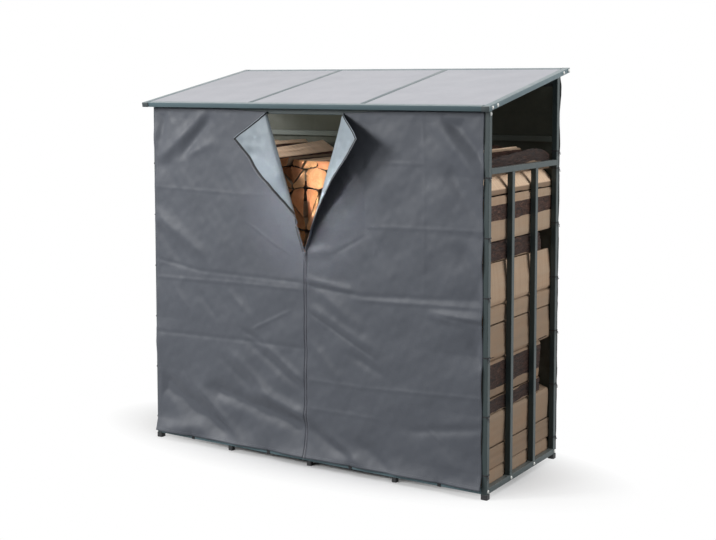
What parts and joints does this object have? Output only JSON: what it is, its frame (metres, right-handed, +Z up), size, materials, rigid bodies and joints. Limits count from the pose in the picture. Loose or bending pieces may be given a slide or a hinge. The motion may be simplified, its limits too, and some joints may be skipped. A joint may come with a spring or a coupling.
{
  "type": "log store",
  "caption": "Free-standing log store: square-tube frame, sloping panel roof, fabric front with a half-open zip, fabric back, barred open ends, filled with split logs.",
  "frame": {"origin": "on the ground, in the middle of the overall plan (raised flap in front, roof overhang behind)", "axes": "+X along the front to the right as seen from the front, +Y from front to back, +Z up"},
  "size_m": [1.848, 0.898, 1.8098],
  "materials": {
    "frame": "satin powder coat, grey",
    "roof_frame": "satin powder coat, grey",
    "end_cap": "moulded, matt",
    "roof_panel": "opaque panel, satin",
    "front_cover": "coated woven fabric, grey outside and silver inside",
    "back_cover": "coated woven fabric, dark",
    "zip": "moulded teeth on woven tape",
    "webbing": "flat woven webbing",
    "foot": "moulded, matt",
    "log": "split, with bark"
  },
  "bodies": {
    "root": {"post_front_left": "frame", "post_front_right": "frame", "post_back_left": "frame", "post_back_right": "frame", "base_rail_front": "frame", "base_rail_back": "frame", "base_rail_left": "frame", "base_rail_right": "frame", "floor_bars": "frame", "top_rail_front": "frame", "top_rail_back": "frame", "back_rail": "frame", "end_rail_left": "frame", "end_rail_right": "frame", "end_bars_left": "frame", "end_bars_right": "frame", "corner_feet": "foot", "rail_feet": "foot", "roof_bar_left": "roof_frame", "roof_bar_right": "roof_frame", "roof_bar_front": "roof_frame", "roof_bar_back": "roof_frame", "roof_rafters": "roof_frame", "roof_end_caps": "end_cap", "roof_panel_left": "roof_panel", "roof_panel_middle": "roof_panel", "roof_panel_right": "roof_panel", "front_cover_left": "front_cover", "front_cover_right": "front_cover", "zip": "zip", "back_cover": "back_cover", "front_straps": "webbing", "back_straps": "webbing", "front_ties": "webbing", "back_ties": "webbing", "log_tier_1": "log", "log_tier_2": "log", "log_tier_3": "log", "log_tier_4": "log", "log_tier_5": "log", "log_tier_6": "log"}
  },
  "joints": []
}
